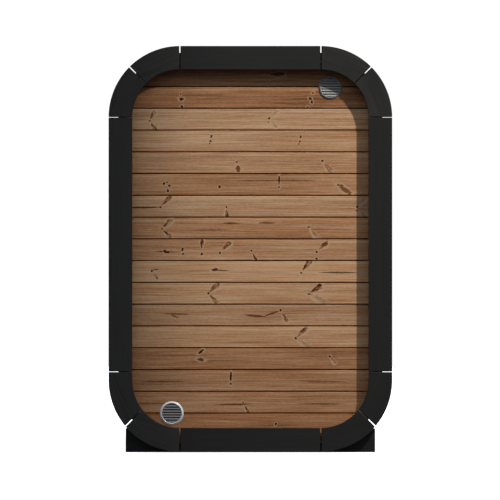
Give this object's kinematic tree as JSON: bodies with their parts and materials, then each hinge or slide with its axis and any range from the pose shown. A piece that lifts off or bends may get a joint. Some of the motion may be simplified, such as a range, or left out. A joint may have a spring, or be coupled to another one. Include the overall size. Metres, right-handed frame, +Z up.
{
  "type": "cube sauna",
  "caption": "Small outdoor sauna room of wooden staves with rounded corners, recessed board end walls in black trim, round vents and a glass door, on cross cradles.",
  "frame": {"origin": "on the ground, under the middle of the sauna", "axes": "+Z up, +Y towards the door end, -Y towards the vented rear end, +X to the right as seen from the rear"},
  "size_m": [1.464, 1.65, 2.1],
  "materials": {
    "trim": "black stain, low sheen",
    "cradle": "black paint, matt",
    "staves": "heat-treated softwood, satin",
    "wall_boards": "heat-treated softwood, satin",
    "floor_boards": "bare softwood, matt",
    "handle_wood": "oiled softwood",
    "roof_sheet": "matt",
    "vent_steel": "brushed",
    "hinge_steel": "brushed",
    "frame_paint": "black stain, low sheen",
    "door_glass": "bronze tint"
  },
  "bodies": {
    "root": {"cradle_rear": "cradle", "cradle_front": "cradle", "bottom_shell": "staves", "corner_shell_bottom_left": "staves", "corner_shell_bottom_right": "staves", "side_wall_left": "staves", "side_wall_right": "staves", "corner_shell_top_left": "staves", "corner_shell_top_right": "staves", "roof": "staves", "roof_cover": "roof_sheet", "floor_bearers": "floor_boards", "floor_deck": "floor_boards", "rear_wall": "wall_boards", "upper_vent_grille": "vent_steel", "upper_vent_sleeve": "vent_steel", "lower_vent_grille": "vent_steel", "lower_vent_sleeve": "vent_steel", "front_wall_left": "wall_boards", "front_wall_right": "wall_boards", "front_wall_over_door": "wall_boards", "door_threshold": "wall_boards", "door_frame": "frame_paint", "door_glass": "door_glass", "door_hinges": "hinge_steel", "door_handle": "handle_wood", "rear_trim_top": "trim", "rear_trim_bottom": "trim", "rear_trim_left": "trim", "rear_trim_right": "trim", "rear_trim_corner_top_left": "trim", "rear_trim_corner_top_right": "trim", "rear_trim_corner_bottom_left": "trim", "rear_trim_corner_bottom_right": "trim", "front_trim_top": "trim", "front_trim_bottom": "trim", "front_trim_left": "trim", "front_trim_right": "trim", "front_trim_corner_top_left": "trim", "front_trim_corner_top_right": "trim", "front_trim_corner_bottom_left": "trim", "front_trim_corner_bottom_right": "trim"}
  },
  "joints": []
}
